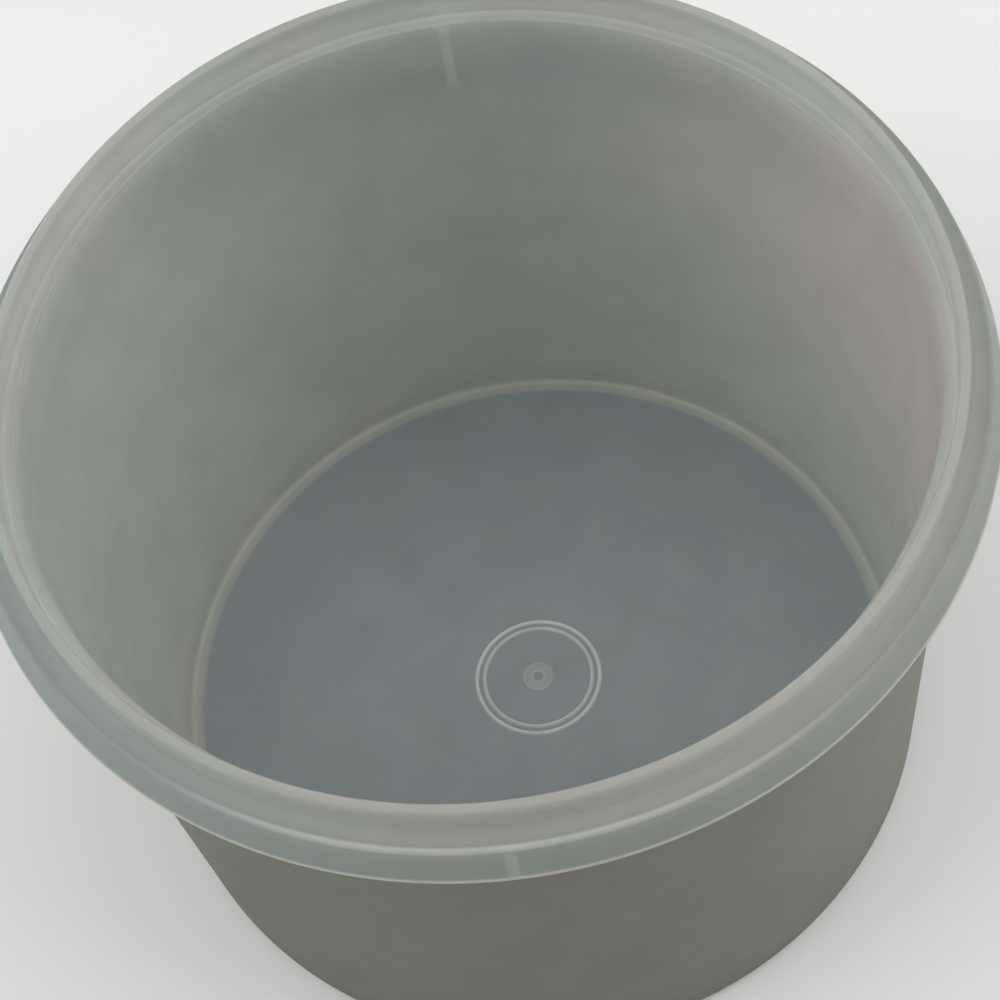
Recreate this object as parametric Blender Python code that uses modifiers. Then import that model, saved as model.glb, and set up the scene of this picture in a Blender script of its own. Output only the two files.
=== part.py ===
"""Round plastic food storage container: one thin-walled moulding, open at the top.

The origin is the middle of the base, where the container stands, and Z is its axis.
All lengths are in metres.
"""
import math

import bmesh
import bpy
from mathutils import Vector

# Tapered body
OVERALL_HEIGHT = 0.118
WALL_TOP_RADIUS = 0.0778
WALL_TAPER = 0.0045
WALL_THICKNESS = 0.0034
INNER_CORNER_RADIUS = 0.0013
OUTER_CORNER_RADIUS = 0.0029

# Floor and the foot ring that the container stands on
FLOOR_THICKNESS = 0.0016
FOOT_HEIGHT = 0.0008
FOOT_WIDTH = 0.0030
FOOT_SLOPE_WIDTH = 0.0008
FOOT_EDGE_RADIUS = 0.0003

# Upright lip that a press-on lid grips
LIP_OVERHANG = 0.0004
LIP_THICKNESS = 0.0017
LIP_HEIGHT = 0.0053
LIP_EDGE_RADIUS = 0.0004
LIP_ROOT_RADIUS = 0.0003

# Step inside, where the thin lip meets the thicker wall
STEP_DEPTH = 0.0070
STEP_EDGE_RADIUS = 0.0005
STEP_ROOT_RADIUS = 0.0003

# Ledge round the foot of the lip
LEDGE_WIDTH = 0.0036
LEDGE_THICKNESS = 0.0018
SHOULDER_RADIUS = 0.0008

# Skirt that hangs from the ledge, with a channel behind it
SKIRT_HANG = 0.0050
SKIRT_FLARE = 0.0023
SKIRT_THICKNESS = 0.0012
SKIRT_EDGE_RADIUS = 0.0003
CHANNEL_ROOT_RADIUS = 0.0004

# Gussets that brace the ledge and the skirt against the wall
GUSSET_COUNT = 4
GUSSET_THICKNESS = 0.0016
GUSSET_LIFT = 0.0005
GUSSET_TOE_DROP = 0.0119

# Low ridges moulded on the floor: two round the middle and two at the gate mark
RING_RADIUS = 0.0107
RING_GAP = 0.0015
RING_WIDTH = 0.0006
RING_HEIGHT = 0.0003
GATE_RADIUS = 0.0012
GATE_GAP = 0.0017
GATE_WIDTH = 0.0005
GATE_HEIGHT = 0.0002

# Smoothness of the turned shape
TURN_STEPS = 64
ARC_STEPS = 3
CORNER_STEPS = 5
RIDGE_STEPS = 4
SHARP_ANGLE = math.radians(35)
MERGE_DISTANCE = 0.00001
EDGE_SHARE = 0.49

# Finish
BODY_COLOUR = (0.50, 0.52, 0.49, 1.0)
BODY_ROUGHNESS = 0.42
BODY_TRANSMISSION = 0.35

# Heights and radii that the sizes above give
FLOOR_TOP = FOOT_HEIGHT + FLOOR_THICKNESS
LEDGE_TOP = OVERALL_HEIGHT - LIP_HEIGHT
LEDGE_UNDERSIDE = LEDGE_TOP - LEDGE_THICKNESS
STEP_TOP = OVERALL_HEIGHT - STEP_DEPTH
SKIRT_BOTTOM = LEDGE_UNDERSIDE - SKIRT_HANG
LIP_OUTER_RADIUS = WALL_TOP_RADIUS + LIP_OVERHANG
LIP_INNER_RADIUS = LIP_OUTER_RADIUS - LIP_THICKNESS
LEDGE_RADIUS = LIP_OUTER_RADIUS + LEDGE_WIDTH


def clear_scene():
    """Removes every object of the scene."""
    for thing in list(bpy.data.objects):
        bpy.data.objects.remove(thing, do_unlink=True)


def make_collection(name):
    """Adds a collection to the scene."""
    collection = bpy.data.collections.new(name)
    bpy.context.scene.collection.children.link(collection)
    return collection


def milky_plastic(name):
    """Natural, slightly see-through plastic with a soft sheen."""
    material = bpy.data.materials.new(name)
    material.use_nodes = True
    material.diffuse_color = BODY_COLOUR
    shader = material.node_tree.nodes["Principled BSDF"]
    shader.inputs["Base Color"].default_value = BODY_COLOUR
    shader.inputs["Roughness"].default_value = BODY_ROUGHNESS
    shader.inputs["Metallic"].default_value = 0.0
    shader.inputs["Transmission Weight"].default_value = BODY_TRANSMISSION
    return material


def wall_radius(height):
    """Outer radius of the tapered wall at a height."""
    climb_share = height / LEDGE_UNDERSIDE
    return WALL_TOP_RADIUS - WALL_TAPER * (1 - climb_share)


def skirt_radius(height):
    """Outer radius of the flared skirt at a height."""
    drop_share = (LEDGE_TOP - height) / (LEDGE_TOP - SKIRT_BOTTOM)
    return LEDGE_RADIUS + SKIRT_FLARE * drop_share


def sharp(across, height):
    """Corner of an outline that stays sharp."""
    return (Vector((across, height)), 0.0, 0)


def soft(across, height, radius, steps=ARC_STEPS):
    """Corner of an outline that an arc rounds off."""
    return (Vector((across, height)), radius, steps)


def ridge(radius, width, height):
    """Half-round ridge on the floor, as corners of the outline."""
    corners = []
    for step in range(RIDGE_STEPS + 1):
        turn = math.pi * step / RIDGE_STEPS
        across = radius - width / 2 * math.cos(turn)
        corners.append(sharp(across, FLOOR_TOP + height * math.sin(turn)))
    return corners


def round_corner(before, corner, after, radius, steps):
    """Points of an arc that touches both edges at a corner."""
    to_before = before - corner
    to_after = after - corner
    half_angle = to_before.angle(to_after) / 2
    room = EDGE_SHARE * min(to_before.length, to_after.length)
    cut_back = min(radius / math.tan(half_angle), room)
    radius = cut_back * math.tan(half_angle)
    middle = to_before.normalized() + to_after.normalized()
    centre = corner + middle.normalized() * (radius / math.sin(half_angle))
    start = corner + to_before.normalized() * cut_back - centre
    end = corner + to_after.normalized() * cut_back - centre
    first_turn = math.atan2(start.y, start.x)
    sweep = math.remainder(math.atan2(end.y, end.x) - first_turn, math.tau)
    points = []
    for step in range(steps + 1):
        turn = first_turn + sweep * step / steps
        points.append(centre + radius * Vector((math.cos(turn), math.sin(turn))))
    return points


def outline_points(corners):
    """Points of an outline, from its corners."""
    points = []
    for index, (corner, radius, steps) in enumerate(corners):
        if steps:
            before = corners[index - 1][0]
            after = corners[index + 1][0]
            points += round_corner(before, corner, after, radius, steps)
        else:
            points.append(corner)
    return points


def body_outline():
    """Outline from the middle of the floor, up inside, over the lip and down outside."""
    floor_edge = wall_radius(FLOOR_TOP) - WALL_THICKNESS
    step_edge = wall_radius(STEP_TOP) - WALL_THICKNESS
    skirt_edge = skirt_radius(SKIRT_BOTTOM)
    foot_inside = wall_radius(0.0) - OUTER_CORNER_RADIUS - FOOT_WIDTH
    corners = [
        sharp(0.0, FLOOR_TOP),
        *ridge(GATE_RADIUS, GATE_WIDTH, GATE_HEIGHT),
        *ridge(GATE_RADIUS + GATE_GAP, GATE_WIDTH, GATE_HEIGHT),
        *ridge(RING_RADIUS, RING_WIDTH, RING_HEIGHT),
        *ridge(RING_RADIUS + RING_GAP, RING_WIDTH, RING_HEIGHT),
        soft(floor_edge, FLOOR_TOP, INNER_CORNER_RADIUS, CORNER_STEPS),
        soft(step_edge, STEP_TOP, STEP_EDGE_RADIUS),
        soft(LIP_INNER_RADIUS, STEP_TOP, STEP_ROOT_RADIUS),
        soft(LIP_INNER_RADIUS, OVERALL_HEIGHT, LIP_EDGE_RADIUS),
        soft(LIP_OUTER_RADIUS, OVERALL_HEIGHT, LIP_EDGE_RADIUS),
        soft(LIP_OUTER_RADIUS, LEDGE_TOP, LIP_ROOT_RADIUS),
        soft(LEDGE_RADIUS, LEDGE_TOP, SHOULDER_RADIUS),
        soft(skirt_edge, SKIRT_BOTTOM, SKIRT_EDGE_RADIUS),
        soft(skirt_edge - SKIRT_THICKNESS, SKIRT_BOTTOM, SKIRT_EDGE_RADIUS),
        soft(LEDGE_RADIUS - SKIRT_THICKNESS, LEDGE_UNDERSIDE, CHANNEL_ROOT_RADIUS),
        soft(wall_radius(LEDGE_UNDERSIDE), LEDGE_UNDERSIDE, CHANNEL_ROOT_RADIUS),
        soft(wall_radius(0.0), 0.0, OUTER_CORNER_RADIUS, CORNER_STEPS),
        soft(foot_inside, 0.0, FOOT_EDGE_RADIUS),
        soft(foot_inside - FOOT_SLOPE_WIDTH, FOOT_HEIGHT, FOOT_EDGE_RADIUS),
        sharp(0.0, FOOT_HEIGHT),
    ]
    return outline_points(corners)


def turned_body(collection):
    """Body as an outline turned about Z."""
    outline = bmesh.new()
    points = [outline.verts.new((point.x, 0.0, point.y)) for point in body_outline()]
    for start, end in zip(points, points[1:]):
        outline.edges.new((start, end))
    mesh = bpy.data.meshes.new("body_outline")
    outline.to_mesh(mesh)
    outline.free()
    body = bpy.data.objects.new("turned_body", mesh)
    collection.objects.link(body)
    screw = body.modifiers.new("turn", "SCREW")
    screw.axis = "Z"
    screw.angle = math.tau
    screw.steps = TURN_STEPS
    screw.render_steps = TURN_STEPS
    screw.use_merge_vertices = True
    screw.merge_threshold = MERGE_DISTANCE
    return body


def gusset_outline():
    """Corners of one gusset, each sunk half way into the plate that it joins."""
    ledge_middle = LEDGE_UNDERSIDE + LEDGE_THICKNESS / 2
    outer_foot = SKIRT_BOTTOM + GUSSET_LIFT
    toe = SKIRT_BOTTOM - GUSSET_TOE_DROP
    return [
        (LIP_OUTER_RADIUS - LIP_THICKNESS / 2, ledge_middle),
        (wall_radius(toe) - WALL_THICKNESS / 2, toe),
        (skirt_radius(outer_foot) - SKIRT_THICKNESS / 2, outer_foot),
        (LEDGE_RADIUS - SKIRT_THICKNESS / 2, ledge_middle),
    ]


def gusset(number, collection):
    """Gusset plate, standing on edge along a radius."""
    curve = bpy.data.curves.new("gusset_outline", "CURVE")
    curve.dimensions = "2D"
    curve.fill_mode = "BOTH"
    curve.extrude = GUSSET_THICKNESS / 2
    corners = gusset_outline()
    spline = curve.splines.new("POLY")
    spline.points.add(len(corners) - 1)
    for point, (across, height) in zip(spline.points, corners):
        point.co = (across, height, 0.0, 1.0)
    spline.use_cyclic_u = True
    flat = bpy.data.objects.new("gusset_outline", curve)
    flat.rotation_euler = (math.radians(90), 0.0, math.tau * number / GUSSET_COUNT)
    collection.objects.link(flat)
    bpy.context.view_layer.update()

    evaluated = flat.evaluated_get(bpy.context.evaluated_depsgraph_get())
    mesh = bpy.data.meshes.new_from_object(evaluated)
    weld = bmesh.new()
    weld.from_mesh(mesh)
    bmesh.ops.remove_doubles(weld, verts=weld.verts, dist=MERGE_DISTANCE)
    weld.to_mesh(mesh)
    weld.free()
    plate = bpy.data.objects.new(f"gusset_{number + 1}", mesh)
    plate.matrix_world = flat.matrix_world
    plate.hide_render = True
    plate.display_type = "WIRE"
    collection.objects.link(plate)
    bpy.data.objects.remove(flat, do_unlink=True)
    return plate


def container(parts, helpers):
    """Whole moulding: the turned body with its gussets joined on."""
    body = turned_body(helpers)
    for number in range(GUSSET_COUNT):
        join = body.modifiers.new(f"join_gusset_{number + 1}", "BOOLEAN")
        join.operation = "UNION"
        join.solver = "EXACT"
        join.object = gusset(number, helpers)
    bpy.context.view_layer.update()

    evaluated = body.evaluated_get(bpy.context.evaluated_depsgraph_get())
    mesh = bpy.data.meshes.new_from_object(evaluated)
    mesh.name = "container"
    mesh.materials.clear()
    mesh.materials.append(milky_plastic("container"))
    mesh.shade_smooth()
    mesh.set_sharp_from_angle(angle=SHARP_ANGLE)
    moulding = bpy.data.objects.new("container", mesh)
    parts.objects.link(moulding)
    body.hide_render = True
    body.display_type = "WIRE"
    return moulding


def main():
    clear_scene()
    parts = make_collection("food_storage_container")
    helpers = make_collection("helpers")
    container(parts, helpers)


main()
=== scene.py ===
"""Milky plastic food container on a pale floor, seen from above into the open tub.

The origin is the middle of the base and Z is up. All lengths are in metres.
"""
import math

import bmesh
import bpy
from mathutils import Matrix, Vector


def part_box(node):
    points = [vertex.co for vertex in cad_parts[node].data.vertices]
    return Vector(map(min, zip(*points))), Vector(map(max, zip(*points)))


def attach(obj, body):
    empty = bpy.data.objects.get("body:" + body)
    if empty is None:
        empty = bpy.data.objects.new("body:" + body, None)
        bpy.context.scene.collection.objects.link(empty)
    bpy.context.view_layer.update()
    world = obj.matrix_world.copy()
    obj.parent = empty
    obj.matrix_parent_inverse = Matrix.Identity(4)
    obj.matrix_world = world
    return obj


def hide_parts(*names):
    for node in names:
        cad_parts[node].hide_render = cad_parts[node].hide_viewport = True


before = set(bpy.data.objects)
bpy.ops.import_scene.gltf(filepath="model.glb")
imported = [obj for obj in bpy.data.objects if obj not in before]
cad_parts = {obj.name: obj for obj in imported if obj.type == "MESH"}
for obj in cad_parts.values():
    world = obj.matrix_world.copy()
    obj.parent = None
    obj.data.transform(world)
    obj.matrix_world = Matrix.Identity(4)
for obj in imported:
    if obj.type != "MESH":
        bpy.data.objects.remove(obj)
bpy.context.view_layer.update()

# Node and height that the frame gives
NODE = "container"
OVERALL_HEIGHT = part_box(NODE)[1].z

# Tapered body
WALL_TOP_RADIUS = 0.0778
WALL_TAPER = 0.0045
WALL_THICKNESS = 0.0034
INNER_CORNER_RADIUS = 0.0013
OUTER_CORNER_RADIUS = 0.0029

# Floor and foot ring
FLOOR_THICKNESS = 0.0016
FOOT_HEIGHT = 0.0008
FOOT_WIDTH = 0.0030
FOOT_SLOPE_WIDTH = 0.0008
FOOT_EDGE_RADIUS = 0.0003

# Upright lip
LIP_OVERHANG = 0.0004
LIP_THICKNESS = 0.0017
LIP_HEIGHT = 0.0053
LIP_EDGE_RADIUS = 0.0004
LIP_ROOT_RADIUS = 0.0008

# Step inside
STEP_DEPTH = 0.0070
STEP_EDGE_RADIUS = 0.0005
STEP_ROOT_RADIUS = 0.0003

# Ledge round the foot of the lip, and the skirt that hangs from it
LEDGE_WIDTH = 0.0036
LEDGE_THICKNESS = 0.0018
SHOULDER_RADIUS = 0.0008
SKIRT_HANG = 0.0050
SKIRT_FLARE = 0.0023
SKIRT_THICKNESS = 0.0012
SKIRT_EDGE_RADIUS = 0.0003
CHANNEL_ROOT_RADIUS = 0.0004

# Gussets under the ledge
GUSSET_COUNT = 4
GUSSET_THICKNESS = 0.0016
GUSSET_LIFT = 0.0005
GUSSET_TOE_DROP = 0.0119
GUSSET_FILLET = 0.0009
GUSSET_EDGE_RADIUS = 0.0003
GUSSET_STEPS = 14

# Low ridges on the floor
RING_RADIUS = 0.0107
RING_GAP = 0.0015
RING_WIDTH = 0.0006
RING_HEIGHT = 0.0003
GATE_RADIUS = 0.0012
GATE_GAP = 0.0017
GATE_WIDTH = 0.0005
GATE_HEIGHT = 0.0002

# Smoothness of the turned surface
TURN_STEPS = 256
ARC_STEPS = 6
CORNER_STEPS = 16
RIDGE_STEPS = 8
SHARP_ANGLE = math.radians(24)
MERGE_DISTANCE = 0.00001
EDGE_SHARE = 0.49

# Heights and radii that the sizes above give
FLOOR_TOP = FOOT_HEIGHT + FLOOR_THICKNESS
LEDGE_TOP = OVERALL_HEIGHT - LIP_HEIGHT
LEDGE_UNDERSIDE = LEDGE_TOP - LEDGE_THICKNESS
STEP_TOP = OVERALL_HEIGHT - STEP_DEPTH
SKIRT_BOTTOM = LEDGE_UNDERSIDE - SKIRT_HANG
LIP_OUTER_RADIUS = WALL_TOP_RADIUS + LIP_OVERHANG
LIP_INNER_RADIUS = LIP_OUTER_RADIUS - LIP_THICKNESS
LEDGE_RADIUS = LIP_OUTER_RADIUS + LEDGE_WIDTH
FOOT_INSIDE = WALL_TOP_RADIUS - WALL_TAPER - OUTER_CORNER_RADIUS - FOOT_WIDTH

# Ring of edges just under the gussets, which keeps their joints from bending the wall's shading
SHADING_BREAK = SKIRT_BOTTOM - GUSSET_TOE_DROP - GUSSET_FILLET

# Camera, as fitted to the round edges and the scale
CAMERA_PLACE = (0.0251, -0.2170, 0.4349)
CAMERA_AIM = (0.0034, -0.0276, 0.1180)
CAMERA_ROLL = math.radians(-12.63)
CAMERA_LENS = 87.98
SENSOR_WIDTH = 36.0


def srgb(red, green, blue):
    """Linear colour of a colour given on the screen's scale from 0 to 255."""
    return tuple((share / 255) ** 2.2 for share in (red, green, blue)) + (1.0,)


# Milkiness changes with the thickness of the plastic, and some stops are painted light and shade: corners
# are lifted against the shade in them, edges that catch the light are darkened, the wall is lighter towards
# the step, and the skirt's edge has a painted highlight. Each table gives a distance and a colour.
# Along the floor: distance from the axis
FLOOR_SHADES = [
    (0.0670, srgb(147, 155, 158)),  # thin floor
    (0.0676, srgb(169, 173, 166)),  # over the foot ring
    # painted light: the floor's corner by the wall is lighter, against the shade that falls there
    (0.0690, srgb(178, 181, 172)),
    (0.0699, srgb(175, 179, 170)),
]

# Up the inner wall, across the step and up the lip: distance along the outline
INNER_SHADES = [
    (0.0024, srgb(179, 182, 174)),  # corner of the floor, with painted light against its shade
    (0.0035, srgb(176, 179, 171)),
    (0.0050, srgb(164, 168, 162)),  # wall
    (0.0100, srgb(165, 170, 164)),
    (0.0700, srgb(158, 164, 158)),
    (0.0980, srgb(163, 168, 162)),
    (0.1070, srgb(181, 186, 178)),  # lighter towards the step: painted light that comes in through the rim
    (0.1100, srgb(185, 189, 182)),
    (0.1112, srgb(151, 153, 146)),  # rounded step edge, with painted shade where it catches the light
    (0.1125, srgb(178, 181, 173)),  # step
    (0.1132, srgb(204, 209, 199)),  # root of the lip, with painted light against its corner's shade
    (0.1156, srgb(184, 187, 178)),  # lip
    (0.1186, srgb(156, 159, 152)),
]

# Down the lip, out over the ledge and down the skirt: distance along the outline
RIM_SHADES = [
    (0.0010, srgb(155, 158, 151)),  # edge of the lip
    (0.0030, srgb(154, 158, 150)),  # lip
    (0.0047, srgb(161, 165, 157)),  # root of the lip, with painted light against its corner's shade
    (0.0065, srgb(151, 156, 148)),  # ledge
    (0.0084, srgb(126, 130, 123)),  # shoulder, with painted shade where it catches the light
    (0.0094, srgb(146, 151, 145)),
    (0.0107, srgb(152, 162, 152)),  # skirt
    (0.0166, srgb(158, 170, 161)),
    (0.0171, srgb(241, 245, 222)),  # edge of the skirt, with a painted highlight
    (0.0178, srgb(252, 252, 233)),
]

# Outer wall, painted shade on the lip's top edge, thick plastic that also gives the painted shoulder
# highlight, and the ridges on the floor
WALL_COLOUR = srgb(149, 151, 139)
# painted shade: the top edge of the lip is darker, as it gets the most light
PAINTED_LIP_TOP_SHADE = srgb(140, 141, 135)
# milky colour of thick plastic, also the colour of the painted highlight on the shoulder
MILK_AND_HIGHLIGHT_COLOUR = srgb(206, 209, 203)
RIDGE_COLOUR = srgb(228, 231, 224)

# Half widths over which one colour gives way to the next
HAIR_BLEND = 0.0001
FINE_BLEND = 0.0002
SOFT_BLEND = 0.0003
BROAD_BLEND = 0.0004

# Where the colours give way to each other
FLOOR_COLOUR_LIFT = 0.0005
SIDES_PART_DROP = 0.0008
STEP_COLOUR_DROP = 0.0006
LIP_COLOUR_DROP = 0.0002
RIM_COLOUR_OFFSET = 0.0001

# Painted highlight along the shoulder, which shows only at the front
SHOULDER_HIGHLIGHT_RADIUS = LEDGE_RADIUS - 0.0001
SHOULDER_HIGHLIGHT_HEIGHT = LEDGE_TOP - 0.0003
SHOULDER_HIGHLIGHT_WIDTH = (0.0003, 0.0008)
SHOULDER_HIGHLIGHT_FRONT = (-0.060, -0.080)
SHOULDER_HIGHLIGHT_STRENGTH = 0.45

# Light lines along the ridges on the floor: radius, distances where the colour is full and gone, strength
RING_LINE_WIDTH = (RING_WIDTH * 0.4, RING_WIDTH * 0.8)
GATE_LINE_WIDTH = (GATE_WIDTH * 0.4, GATE_WIDTH * 0.8)
RIDGE_LINES = [
    (RING_RADIUS, *RING_LINE_WIDTH, 0.8),
    (RING_RADIUS + RING_GAP, *RING_LINE_WIDTH, 1.0),
    (GATE_RADIUS, *GATE_LINE_WIDTH, 0.25),
    (GATE_RADIUS + GATE_GAP / 2, GATE_GAP * 0.5, GATE_GAP * 0.65, 0.18),
    (GATE_RADIUS + GATE_GAP, *GATE_LINE_WIDTH, 0.15),
]

# Stripes where a gusset shows through the wall and the skirt: partly the milkier thick plastic, and partly
# painted light scattered through it, strong at the front and back gussets and faint at the side ones
STRIPE_HALF_WIDTH = GUSSET_THICKNESS * 0.55
STRIPE_FLARE = GUSSET_THICKNESS * 0.5
STRIPE_TOE_HEIGHT = 0.0030
STRIPE_TOP_HEIGHT = 0.0022
STRIPE_FADE_BELOW = 0.0010
STRIPE_FADE_ABOVE = 0.0040
STRIPE_BACK = (0.04, 0.07)
STRIPE_WALL_STRENGTHS = (0.03, 0.5)
STRIPE_SKIRT_OFFSET = 0.0004
STRIPE_SKIRT_STRENGTH = 0.3

# Painted light and shade: tints that the lamps and surroundings lend to one side, and the places between
# which each one grows. Warm light is painted on the right of the inner wall, cool shade on the top of its
# back, cool and warm light on the left and the near right of the rim, and shade on the left of the outer
# wall.
PAINTED_WARM_LIGHT = (1.17, 1.03, 0.98)
WARM_RIGHT = (0.015, 0.075)
WARM_UP = (0.010, 0.070)
PAINTED_COOL_SHADE = (0.86, 0.90, 0.92)
COOL_BACK = (0.030, 0.070)
COOL_UP = (0.070, 0.105)
PAINTED_COOL_RIM_LIGHT = (0.91, 1.0, 1.04)
RIM_LEFT = (0.0, -0.07)
PAINTED_WARM_RIM_LIGHT = (1.10, 1.01, 1.0)
RIM_NEAR_RIGHT = (0.02, 0.07)
RIM_NEAR_FRONT = (-0.015, -0.045)
PAINTED_LEFT_WALL_SHADE = (0.78, 0.79, 0.76)
WALL_LEFT = (-0.01, -0.06)

# Uneven colour of the plastic: soft clouds of two tints, and a finer grain. A noise has a scale,
# a detail and a roughness.
CLOUD_NOISE = (34.0, 3.0, 0.5)
CLOUD_RANGE = (0.38, 0.62)
GREEN_CLOUD = (0.975, 1.01, 0.995)
PINK_CLOUD = (1.025, 0.99, 1.0)
GRAIN_NOISE = (75.0, 4.0, 0.6)
GRAIN_RANGE = (0.25, 0.75)
GRAIN_INSIDE = 0.05
GRAIN_OUTSIDE = 0.02

# Gloss, which is duller on the outer wall, and a fine bump
ROUGHNESS = 0.36
WALL_EXTRA_ROUGHNESS = 0.28
SATIN_NOISE = (90.0, 4.0, 0.6)
SATIN_RANGE = (0.3, 0.7)
SATIN_ROUGHNESS = 0.1
BUMP_NOISE = (1200.0, 3.0, 0.6)
BUMP_STRENGTH = 0.1
BUMP_DISTANCE = 0.0001
PLASTIC_IOR = 1.5
PLASTIC_SPECULAR = 0.35

# Light that wanders inside the plastic: least share, and how much more in the clear inside and rim
SCATTER_LEAST = 0.25
SCATTER_MORE = 0.45
SCATTER_RADIUS = (1.0, 1.0, 0.97)
SCATTER_SCALE = 0.02

# Ground under the container
GROUND_RADIUS = 6.0
GROUND_STEPS = 96
GROUND_NOISE = (6.0, 3.0, 0.5)
GROUND_COLOURS = ((0.78, 0.78, 0.77, 1.0), (0.82, 0.82, 0.81, 1.0))
GROUND_BOUNCE_COLOUR = (0.25, 0.25, 0.25, 1.0)
GROUND_ROUGHNESS = 0.8

# Light
SKY_COLOUR = (0.80, 0.81, 0.82, 1.0)
SKY_STRENGTH = 0.04
LAMPS = [
    # name, place, aim, size, power
    ("overhead", (0.0, 0.1, 1.1), (0.0, 0.0, 0.05), 2.0, 15.0),
    ("left", (-0.85, -0.10, 0.80), (0.0, 0.0, 0.06), 0.9, 5.0),
    ("right", (0.85, -0.10, 0.80), (0.0, 0.0, 0.06), 0.9, 5.2),
    ("front", (0.0, -0.85, 0.80), (0.0, 0.0, 0.06), 0.9, 1.2),
]


def wall_radius(height):
    """Outer radius of the tapered wall at a height."""
    climb_share = height / LEDGE_UNDERSIDE
    return WALL_TOP_RADIUS - WALL_TAPER * (1 - climb_share)


def skirt_radius(height):
    """Outer radius of the flared skirt at a height."""
    drop_share = (LEDGE_TOP - height) / (LEDGE_TOP - SKIRT_BOTTOM)
    return LEDGE_RADIUS + SKIRT_FLARE * drop_share


def sharp(across, height):
    """Corner of an outline that stays sharp."""
    return (Vector((across, height)), 0.0, 0)


def soft(across, height, radius, steps=ARC_STEPS):
    """Corner of an outline that an arc rounds off."""
    return (Vector((across, height)), radius, steps)


def ridge(radius, width, height):
    """Half-round ridge on the floor, as corners of the outline."""
    corners = []
    for step in range(RIDGE_STEPS + 1):
        turn = math.pi * step / RIDGE_STEPS
        across = radius - width / 2 * math.cos(turn)
        corners.append(sharp(across, FLOOR_TOP + height * math.sin(turn)))
    return corners


def round_corner(before, corner, after, radius, steps):
    """Points of an arc that touches both edges at a corner."""
    to_before = before - corner
    to_after = after - corner
    half_angle = to_before.angle(to_after) / 2
    room = EDGE_SHARE * min(to_before.length, to_after.length)
    cut_back = min(radius / math.tan(half_angle), room)
    radius = cut_back * math.tan(half_angle)
    middle = to_before.normalized() + to_after.normalized()
    centre = corner + middle.normalized() * (radius / math.sin(half_angle))
    start = corner + to_before.normalized() * cut_back - centre
    end = corner + to_after.normalized() * cut_back - centre
    first_turn = math.atan2(start.y, start.x)
    sweep = math.remainder(math.atan2(end.y, end.x) - first_turn, math.tau)
    points = []
    for step in range(steps + 1):
        turn = first_turn + sweep * step / steps
        points.append(centre + radius * Vector((math.cos(turn), math.sin(turn))))
    return points


def outline_points(corners):
    """Points of an outline, from its corners."""
    points = []
    for index, (corner, radius, steps) in enumerate(corners):
        if steps:
            before = corners[index - 1][0]
            after = corners[index + 1][0]
            points += round_corner(before, corner, after, radius, steps)
        else:
            points.append(corner)
    return points


def body_outline():
    """Outline from the middle of the floor, up inside, over the lip and down outside."""
    floor_edge = wall_radius(FLOOR_TOP) - WALL_THICKNESS
    step_edge = wall_radius(STEP_TOP) - WALL_THICKNESS
    skirt_edge = skirt_radius(SKIRT_BOTTOM)
    corners = [
        sharp(0.0, FLOOR_TOP),
        *ridge(GATE_RADIUS, GATE_WIDTH, GATE_HEIGHT),
        *ridge(GATE_RADIUS + GATE_GAP, GATE_WIDTH, GATE_HEIGHT),
        *ridge(RING_RADIUS, RING_WIDTH, RING_HEIGHT),
        *ridge(RING_RADIUS + RING_GAP, RING_WIDTH, RING_HEIGHT),
        soft(floor_edge, FLOOR_TOP, INNER_CORNER_RADIUS, CORNER_STEPS),
        soft(step_edge, STEP_TOP, STEP_EDGE_RADIUS),
        soft(LIP_INNER_RADIUS, STEP_TOP, STEP_ROOT_RADIUS),
        soft(LIP_INNER_RADIUS, OVERALL_HEIGHT, LIP_EDGE_RADIUS),
        soft(LIP_OUTER_RADIUS, OVERALL_HEIGHT, LIP_EDGE_RADIUS),
        soft(LIP_OUTER_RADIUS, LEDGE_TOP, LIP_ROOT_RADIUS),
        soft(LEDGE_RADIUS, LEDGE_TOP, SHOULDER_RADIUS),
        soft(skirt_edge, SKIRT_BOTTOM, SKIRT_EDGE_RADIUS),
        soft(skirt_edge - SKIRT_THICKNESS, SKIRT_BOTTOM, SKIRT_EDGE_RADIUS),
        soft(LEDGE_RADIUS - SKIRT_THICKNESS, LEDGE_UNDERSIDE, CHANNEL_ROOT_RADIUS),
        soft(wall_radius(LEDGE_UNDERSIDE), LEDGE_UNDERSIDE, CHANNEL_ROOT_RADIUS),
        sharp(wall_radius(SHADING_BREAK), SHADING_BREAK),
        soft(wall_radius(0.0), 0.0, OUTER_CORNER_RADIUS, CORNER_STEPS),
        soft(FOOT_INSIDE, 0.0, FOOT_EDGE_RADIUS),
        soft(FOOT_INSIDE - FOOT_SLOPE_WIDTH, FOOT_HEIGHT, FOOT_EDGE_RADIUS),
        sharp(0.0, FOOT_HEIGHT),
    ]
    return outline_points(corners)


def linked_object(name, mesh):
    """New object in the scene with this mesh, which is freed."""
    data = bpy.data.meshes.new(name)
    mesh.to_mesh(data)
    mesh.free()
    piece = bpy.data.objects.new(name, data)
    bpy.context.scene.collection.objects.link(piece)
    return piece


def turned_body():
    """Body as a closed surface turned about Z."""
    mesh = bmesh.new()
    rows = []
    for point in body_outline():
        if point.x < MERGE_DISTANCE:
            rows.append([mesh.verts.new((0.0, 0.0, point.y))] * TURN_STEPS)
        else:
            turns = [math.tau * step / TURN_STEPS for step in range(TURN_STEPS)]
            places = [(point.x * math.cos(turn), point.x * math.sin(turn), point.y) for turn in turns]
            rows.append([mesh.verts.new(place) for place in places])
    for upper, lower in zip(rows, rows[1:]):
        for step in range(TURN_STEPS):
            following = (step + 1) % TURN_STEPS
            corners = [upper[step], lower[step], lower[following], upper[following]]
            mesh.faces.new(list(dict.fromkeys(corners)))
    return linked_object("turned_body", mesh)


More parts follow.
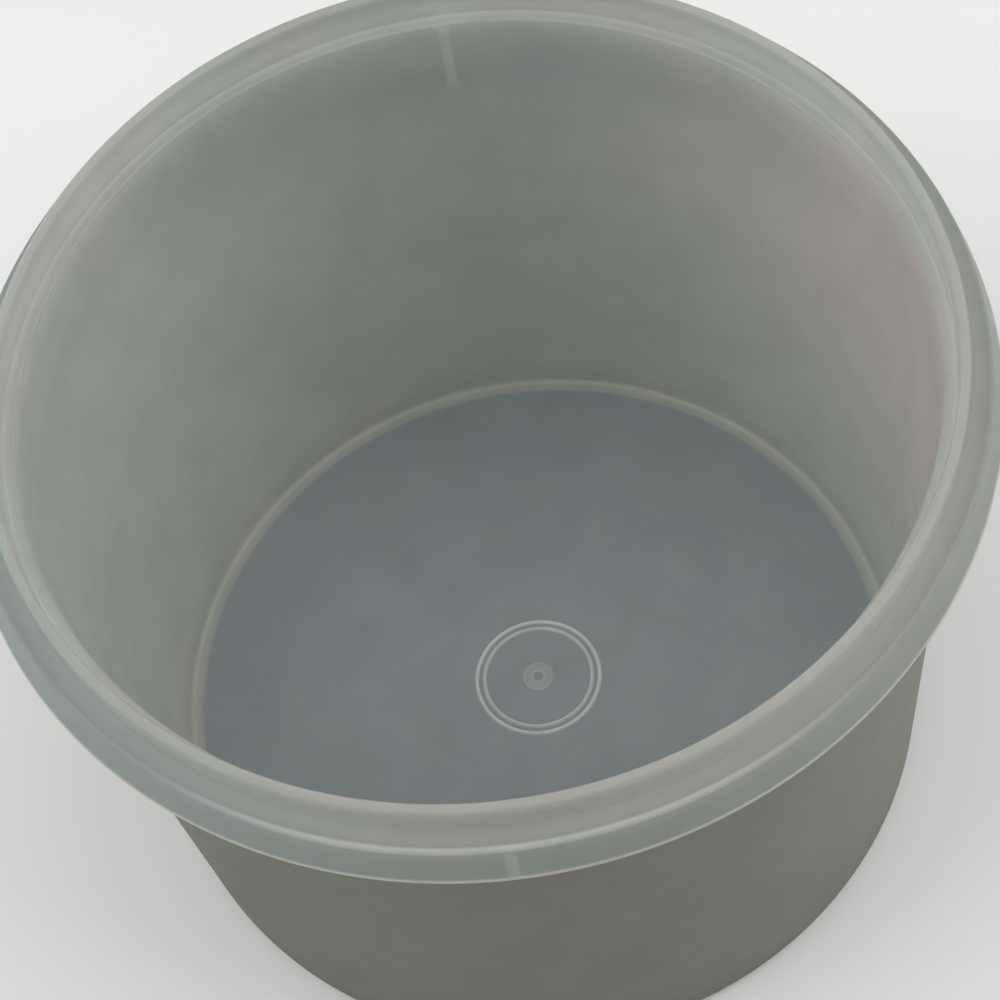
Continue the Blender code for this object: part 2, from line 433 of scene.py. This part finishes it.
def gusset_outline():
    """Corners of one gusset, each sunk half way into the plate that it joins."""
    ledge_middle = LEDGE_UNDERSIDE + LEDGE_THICKNESS / 2
    outer_foot = SKIRT_BOTTOM + GUSSET_LIFT
    toe = SKIRT_BOTTOM - GUSSET_TOE_DROP
    return [
        Vector((LIP_OUTER_RADIUS - LIP_THICKNESS / 2, ledge_middle)),
        Vector((wall_radius(toe) - WALL_THICKNESS / 2, toe)),
        Vector((skirt_radius(outer_foot) - SKIRT_THICKNESS / 2, outer_foot)),
        Vector((LEDGE_RADIUS - SKIRT_THICKNESS / 2, ledge_middle)),
    ]


def gusset_half_thickness(across, height):
    """Half thickness of a gusset, which flares where it meets the wall, the ledge and the skirt."""
    gaps = [
        across - wall_radius(height),
        LEDGE_UNDERSIDE - height,
        skirt_radius(height) - SKIRT_THICKNESS - across,
    ]
    nearness = 1 - min(max(min(gaps), 0.0) / GUSSET_FILLET, 1.0)
    return GUSSET_THICKNESS / 2 + GUSSET_FILLET * nearness ** 2


def gusset_shares():
    """Shares of the way across a gusset, closer together near its ends."""
    return [(1 - math.cos(math.pi * step / GUSSET_STEPS)) / 2 for step in range(GUSSET_STEPS + 1)]


def gusset_side(plate, side):
    """Rows of points on one side of a gusset, from its top down to its free edge."""
    top_inner, toe, outer_foot, top_outer = gusset_outline()
    rows = []
    for down in gusset_shares():
        inner = top_inner.lerp(toe, down)
        outer = top_outer.lerp(outer_foot, down)
        rounding = max(1 - (toe - inner).length / GUSSET_EDGE_RADIUS, 0.0)
        row = []
        for outward in gusset_shares():
            point = inner.lerp(outer, outward)
            half = gusset_half_thickness(point.x, point.y) - GUSSET_EDGE_RADIUS * rounding ** 2
            row.append(plate.verts.new((point.x, side * half, point.y)))
        rows.append(row)
    return rows


def join_rows(plate, one, other):
    """Faces between two rows of points."""
    for column in range(GUSSET_STEPS):
        plate.faces.new((one[column], one[column + 1], other[column + 1], other[column]))


def gusset(number):
    """Gusset plate with flared joints and a rounded free edge, standing along a radius."""
    plate = bmesh.new()
    near = gusset_side(plate, -1)
    far = gusset_side(plate, 1)
    for rows in (near, far):
        for upper, lower in zip(rows, rows[1:]):
            join_rows(plate, upper, lower)
    join_rows(plate, near[0], far[0])
    join_rows(plate, near[-1], far[-1])
    join_rows(plate, [row[0] for row in near], [row[0] for row in far])
    join_rows(plate, [row[-1] for row in near], [row[-1] for row in far])
    bmesh.ops.recalc_face_normals(plate, faces=plate.faces)
    turn = Matrix.Rotation(math.tau * number / GUSSET_COUNT, 3, "Z")
    bmesh.ops.rotate(plate, verts=plate.verts, matrix=turn)
    return linked_object(f"gusset_{number + 1}", plate)


def moulding():
    """Whole container: the turned body with its gussets joined on."""
    body = turned_body()
    plates = [gusset(number) for number in range(GUSSET_COUNT)]
    for plate in plates:
        join = body.modifiers.new(plate.name, "BOOLEAN")
        join.operation = "UNION"
        join.solver = "EXACT"
        join.object = plate
    bpy.context.view_layer.update()
    evaluated = body.evaluated_get(bpy.context.evaluated_depsgraph_get())
    data = bpy.data.meshes.new_from_object(evaluated)
    data.name = "milky_container"
    for helper in [body, *plates]:
        bpy.data.objects.remove(helper, do_unlink=True)
    data.shade_smooth()
    data.set_sharp_from_angle(angle=SHARP_ANGLE)
    piece = bpy.data.objects.new("milky_container", data)
    bpy.context.scene.collection.objects.link(piece)
    return piece


class Nodes:
    """Builds a material's node tree from small sums and mixes."""

    def __init__(self, name):
        self.material = bpy.data.materials.new(name)
        self.material.use_nodes = True
        self.tree = self.material.node_tree
        self.shader = self.tree.nodes["Principled BSDF"]
        self.place = self.tree.nodes.new("ShaderNodeTexCoord").outputs["Object"]

    def connect(self, value, socket):
        """Links an output to a socket, or writes a plain value into it."""
        if isinstance(value, bpy.types.NodeSocket):
            self.tree.links.new(value, socket)
        else:
            socket.default_value = value

    def sum(self, operation, first, second=0.0, third=0.0):
        """One step of arithmetic."""
        node = self.tree.nodes.new("ShaderNodeMath")
        node.operation = operation
        for value, socket in zip((first, second, third), node.inputs):
            self.connect(value, socket)
        return node.outputs[0]

    def product(self, first, *others):
        """Several values multiplied with each other."""
        for other in others:
            first = self.sum("MULTIPLY", first, other)
        return first

    def opposite(self, share):
        """The rest of a share up to 1."""
        return self.sum("SUBTRACT", 1.0, share)

    def ease(self, value, start, end, low=0.0, high=1.0):
        """Runs smoothly from low to high as the value goes from start to end."""
        node = self.tree.nodes.new("ShaderNodeMapRange")
        node.interpolation_type = "SMOOTHSTEP"
        for item, socket in zip((value, start, end, low, high), node.inputs):
            self.connect(item, socket)
        return node.outputs[0]

    def above(self, value, place, softness):
        """0 below a place and 1 above it, with a soft change."""
        return self.ease(value, place - softness, place + softness)

    def mix(self, share, first, second):
        """Mixes two colours."""
        node = self.tree.nodes.new("ShaderNodeMix")
        node.data_type = "RGBA"
        self.connect(share, node.inputs[0])
        self.connect(first, node.inputs[6])
        self.connect(second, node.inputs[7])
        return node.outputs[2]

    def ramp(self, value, shades):
        """Colour that a table gives for a distance."""
        start, end = shades[0][0], shades[-1][0]
        node = self.tree.nodes.new("ShaderNodeValToRGB")
        stops = node.color_ramp.elements
        stops[0].color = shades[0][1]
        stops[-1].color = shades[-1][1]
        for place, colour in shades[1:-1]:
            stops.new((place - start) / (end - start)).color = colour
        share = self.sum("DIVIDE", self.sum("SUBTRACT", value, start), end - start)
        self.connect(share, node.inputs[0])
        return node.outputs[0]

    def scale_colour(self, colour, factor):
        """Multiplies a colour by another colour or by a number."""
        node = self.tree.nodes.new("ShaderNodeVectorMath")
        node.operation = "MULTIPLY"
        self.connect(colour, node.inputs[0])
        self.connect(factor, node.inputs[1])
        return node.outputs[0]

    def tinted(self, colour, share, tint):
        """Colour with a share of a tint."""
        return self.scale_colour(colour, self.mix(share, (1.0, 1.0, 1.0, 1.0), (*tint, 1.0)))

    def noise(self, scale, detail, rough):
        """Soft noise from 0 to 1."""
        node = self.tree.nodes.new("ShaderNodeTexNoise")
        self.connect(self.place, node.inputs["Vector"])
        node.inputs["Scale"].default_value = scale
        node.inputs["Detail"].default_value = detail
        node.inputs["Roughness"].default_value = rough
        return node.outputs["Fac"]


class Plastic(Nodes):
    """Milky plastic that knows where on the container a point lies."""

    def __init__(self, name):
        super().__init__(name)
        split = self.tree.nodes.new("ShaderNodeSeparateXYZ")
        self.connect(self.place, split.inputs[0])
        self.x, self.y, self.z = split.outputs
        self.across = self.length(self.x, self.y)
        self.outside = self.outer_side()
        self.inside = self.opposite(self.outside)
        self.off_floor = self.above(self.z, FLOOR_TOP + FLOOR_COLOUR_LIFT, SOFT_BLEND)
        self.below_step = self.opposite(self.above(self.z, STEP_TOP - STEP_COLOUR_DROP, BROAD_BLEND))
        rim_start = LIP_OUTER_RADIUS + RIM_COLOUR_OFFSET
        within_lip = self.opposite(self.above(self.across, rim_start, HAIR_BLEND))
        below_ledge = self.opposite(self.above(self.z, LEDGE_UNDERSIDE, FINE_BLEND))
        self.below_rim = self.product(within_lip, below_ledge)
        self.outer_wall = self.product(self.outside, self.below_rim)

    def length(self, first, second):
        """Length of the long side of a right-angled triangle."""
        squares = self.sum("ADD", self.product(first, first), self.product(second, second))
        return self.sum("SQRT", squares)

    def outer_side(self):
        """0 on the inner side of the wall and the lip, and 1 on their outer side."""
        slope = WALL_TAPER / LEDGE_UNDERSIDE
        wall_middle = self.sum("MULTIPLY_ADD", self.z, slope, wall_radius(0.0) - WALL_THICKNESS / 2)
        lip_middle = (LIP_INNER_RADIUS + LIP_OUTER_RADIUS) / 2
        past_step = self.above(self.z, STEP_TOP - SIDES_PART_DROP, FINE_BLEND)
        shift = self.sum("SUBTRACT", lip_middle, wall_middle)
        middle = self.sum("MULTIPLY_ADD", past_step, shift, wall_middle)
        return self.above(self.sum("SUBTRACT", self.across, middle), 0.0, SOFT_BLEND)

    def near_ring(self, radius, height, full, gone):
        """1 within the full distance of a ring, and 0 beyond the distance where it is gone."""
        off_across = self.sum("SUBTRACT", self.across, radius)
        off_height = self.sum("SUBTRACT", self.z, height)
        return self.ease(self.length(off_across, off_height), full, gone, 1.0, 0.0)

    def beyond(self, radius):
        """Distance outwards from a radius, or 0 inside it."""
        return self.sum("MAXIMUM", self.sum("SUBTRACT", self.across, radius), 0.0)

    def inner_colour(self):
        """Colour over the floor, up the inner wall, across the step and up the lip."""
        step_edge = wall_radius(STEP_TOP) - WALL_THICKNESS
        over_step = self.sum("MINIMUM", self.beyond(step_edge), LIP_INNER_RADIUS - step_edge)
        up_wall = self.ramp(self.sum("ADD", self.z, over_step), INNER_SHADES)
        return self.mix(self.off_floor, self.ramp(self.across, FLOOR_SHADES), up_wall)

    def outer_colour(self):
        """Colour down the lip, over the ledge, down the skirt and on the outer wall."""
        down = self.sum("SUBTRACT", OVERALL_HEIGHT, self.z)
        rim = self.ramp(self.sum("ADD", down, self.beyond(LIP_OUTER_RADIUS)), RIM_SHADES)
        return self.mix(self.below_rim, rim, WALL_COLOUR)

    def add_edges(self, colour):
        """Adds the painted shade on the top edge of the lip, the painted highlight along the shoulder and
        the ridges.
        """
        on_top = self.above(self.z, OVERALL_HEIGHT - LIP_COLOUR_DROP, FINE_BLEND)
        colour = self.mix(on_top, colour, PAINTED_LIP_TOP_SHADE)
        # painted highlight along the shoulder, at the front only
        shoulder_highlight = self.near_ring(SHOULDER_HIGHLIGHT_RADIUS, SHOULDER_HIGHLIGHT_HEIGHT, *SHOULDER_HIGHLIGHT_WIDTH)
        highlight_front = self.ease(self.y, *SHOULDER_HIGHLIGHT_FRONT, 0.0, SHOULDER_HIGHLIGHT_STRENGTH)
        colour = self.mix(self.product(shoulder_highlight, highlight_front), colour, MILK_AND_HIGHLIGHT_COLOUR)
        for radius, full, gone, strength in RIDGE_LINES:
            share = self.product(self.near_ring(radius, FLOOR_TOP, full, gone), strength)
            colour = self.mix(share, colour, RIDGE_COLOUR)
        return colour

    def add_stripes(self, colour):
        """Adds the stripes where the gussets show through, partly milkier thick plastic and partly painted
        light.
        """
        off_x = self.sum("ABSOLUTE", self.x)
        off_y = self.sum("ABSOLUTE", self.y)
        toe = SKIRT_BOTTOM - GUSSET_TOE_DROP
        at_toe = self.ease(self.z, toe + STRIPE_TOE_HEIGHT, toe, 0.0, STRIPE_FLARE)
        at_step = self.ease(self.z, STEP_TOP - STRIPE_TOP_HEIGHT, STEP_TOP, 0.0, STRIPE_FLARE)
        flare = self.product(self.sum("ADD", at_toe, at_step), self.inside)
        half_width = self.sum("ADD", flare, STRIPE_HALF_WIDTH)
        off_edge = self.sum("SUBTRACT", self.sum("MINIMUM", off_x, off_y), half_width)
        in_stripe = self.ease(off_edge, -SOFT_BLEND, SOFT_BLEND, 1.0, 0.0)
        wall_strength = self.ease(off_y, *STRIPE_BACK, *STRIPE_WALL_STRENGTHS)
        on_wall = self.product(self.inside, self.below_step, wall_strength)
        past_shoulder = self.above(self.across, LEDGE_RADIUS + STRIPE_SKIRT_OFFSET, SOFT_BLEND)
        on_skirt = self.product(past_shoulder, STRIPE_SKIRT_STRENGTH)
        above_toe = self.ease(self.z, toe - STRIPE_FADE_BELOW, toe + STRIPE_FADE_ABOVE)
        strength = self.product(self.sum("ADD", on_wall, on_skirt), above_toe)
        return self.mix(self.product(in_stripe, strength), colour, MILK_AND_HIGHLIGHT_COLOUR)

    def add_clouds_and_painted_light(self, colour):
        """Adds soft clouds, and painted light and shade: tints that the surroundings lend to one side or
        another.
        """
        clouds = self.ease(self.noise(*CLOUD_NOISE), *CLOUD_RANGE)
        colour = self.scale_colour(colour, self.mix(clouds, (*GREEN_CLOUD, 1.0), (*PINK_CLOUD, 1.0)))
        inner_wall = self.product(self.inside, self.off_floor, self.below_step)
        rim = self.sum("SUBTRACT", self.outside, self.below_rim)
        painted_warm = self.product(self.ease(self.x, *WARM_RIGHT), self.ease(self.z, *WARM_UP), inner_wall)
        painted_cool = self.product(self.ease(self.y, *COOL_BACK), self.ease(self.z, *COOL_UP), inner_wall)
        painted_rim_left = self.product(self.ease(self.x, *RIM_LEFT), rim)
        painted_rim_near = self.product(self.ease(self.x, *RIM_NEAR_RIGHT), self.ease(self.y, *RIM_NEAR_FRONT), rim)
        painted_wall_left = self.product(self.ease(self.x, *WALL_LEFT), self.outer_wall)
        colour = self.tinted(colour, painted_warm, PAINTED_WARM_LIGHT)
        colour = self.tinted(colour, painted_cool, PAINTED_COOL_SHADE)
        colour = self.tinted(colour, painted_rim_left, PAINTED_COOL_RIM_LIGHT)
        colour = self.tinted(colour, painted_rim_near, PAINTED_WARM_RIM_LIGHT)
        return self.tinted(colour, painted_wall_left, PAINTED_LEFT_WALL_SHADE)

    def add_grain(self, colour):
        """Adds a fine unevenness, which is stronger inside."""
        depth = self.sum("MULTIPLY_ADD", self.outside, GRAIN_OUTSIDE - GRAIN_INSIDE, GRAIN_INSIDE)
        grain = self.ease(self.noise(*GRAIN_NOISE), *GRAIN_RANGE, -1.0, 1.0)
        return self.scale_colour(colour, self.sum("MULTIPLY_ADD", grain, depth, 1.0))


def milky_plastic():
    """Natural polyethylene: milky where it is thick, darker and bluer where it is thin, with painted light
    and shade.
    """
    plastic = Plastic("milky_plastic")
    colour = plastic.mix(plastic.outside, plastic.inner_colour(), plastic.outer_colour())
    colour = plastic.add_edges(colour)
    colour = plastic.add_stripes(colour)
    colour = plastic.add_clouds_and_painted_light(colour)
    colour = plastic.add_grain(colour)
    inputs = plastic.shader.inputs
    plastic.connect(colour, inputs["Base Color"])

    dull = plastic.sum("MULTIPLY_ADD", plastic.outer_wall, WALL_EXTRA_ROUGHNESS, ROUGHNESS)
    satin = plastic.ease(plastic.noise(*SATIN_NOISE), *SATIN_RANGE, 0.0, SATIN_ROUGHNESS)
    plastic.connect(plastic.sum("ADD", dull, satin), inputs["Roughness"])
    bump = plastic.tree.nodes.new("ShaderNodeBump")
    bump.inputs["Strength"].default_value = BUMP_STRENGTH
    bump.inputs["Distance"].default_value = BUMP_DISTANCE
    plastic.connect(plastic.noise(*BUMP_NOISE), bump.inputs["Height"])
    plastic.connect(bump.outputs[0], inputs["Normal"])

    clear = plastic.product(plastic.off_floor, plastic.opposite(plastic.outer_wall))
    scatter = plastic.sum("MULTIPLY_ADD", clear, SCATTER_MORE, SCATTER_LEAST)
    plastic.connect(scatter, inputs["Subsurface Weight"])
    inputs["Subsurface Radius"].default_value = SCATTER_RADIUS
    inputs["Subsurface Scale"].default_value = SCATTER_SCALE
    inputs["IOR"].default_value = PLASTIC_IOR
    inputs["Specular IOR Level"].default_value = PLASTIC_SPECULAR
    return plastic.material


def ground_material():
    """Pale to the camera and in reflections, and darker for the light that it throws back."""
    nodes = Nodes("pale_floor")
    pale = nodes.mix(nodes.noise(*GROUND_NOISE), *GROUND_COLOURS)
    path = nodes.tree.nodes.new("ShaderNodeLightPath").outputs
    seen = nodes.sum("MAXIMUM", path["Is Camera Ray"], path["Is Glossy Ray"])
    seen = nodes.sum("MAXIMUM", seen, path["Is Transmission Ray"])
    nodes.connect(nodes.mix(seen, GROUND_BOUNCE_COLOUR, pale), nodes.shader.inputs["Base Color"])
    nodes.shader.inputs["Roughness"].default_value = GROUND_ROUGHNESS
    return nodes.material


def pale_floor():
    """Floor that the container stands on."""
    mesh = bmesh.new()
    bmesh.ops.create_circle(mesh, cap_ends=True, segments=GROUND_STEPS, radius=GROUND_RADIUS)
    floor = linked_object("floor", mesh)
    floor.data.materials.append(ground_material())


def soft_lamp(name, place, aim, size, power):
    """Large square lamp that looks at a point."""
    lamp = bpy.data.lights.new(name, "AREA")
    lamp.size = size
    lamp.energy = power
    holder = bpy.data.objects.new(name, lamp)
    holder.location = place
    holder.rotation_euler = (Vector(aim) - Vector(place)).to_track_quat("-Z", "Y").to_euler()
    bpy.context.scene.collection.objects.link(holder)


def studio_light():
    """Soft light from above and a pale sky."""
    world = bpy.data.worlds.new("studio")
    world.use_nodes = True
    background = world.node_tree.nodes["Background"]
    background.inputs["Color"].default_value = SKY_COLOUR
    background.inputs["Strength"].default_value = SKY_STRENGTH
    bpy.context.scene.world = world
    for name, place, aim, size, power in LAMPS:
        soft_lamp(name, place, aim, size, power)


def camera():
    """Camera at the photographed angle."""
    lens = bpy.data.cameras.new("camera")
    lens.lens = CAMERA_LENS
    lens.sensor_width = SENSOR_WIDTH
    holder = bpy.data.objects.new("camera", lens)
    place = Vector(CAMERA_PLACE)
    level = (Vector(CAMERA_AIM) - place).to_track_quat("-Z", "Y").to_matrix()
    tilted = level @ Matrix.Rotation(CAMERA_ROLL, 3, "Z")
    holder.matrix_world = Matrix.Translation(place) @ tilted.to_4x4()
    bpy.context.scene.collection.objects.link(holder)
    bpy.context.scene.camera = holder


camera()
container = moulding()
container.data.materials.clear()
container.data.materials.append(milky_plastic())
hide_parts(NODE)
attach(container, "root")
pale_floor()
studio_light()
bpy.context.scene.view_settings.view_transform = "Standard"
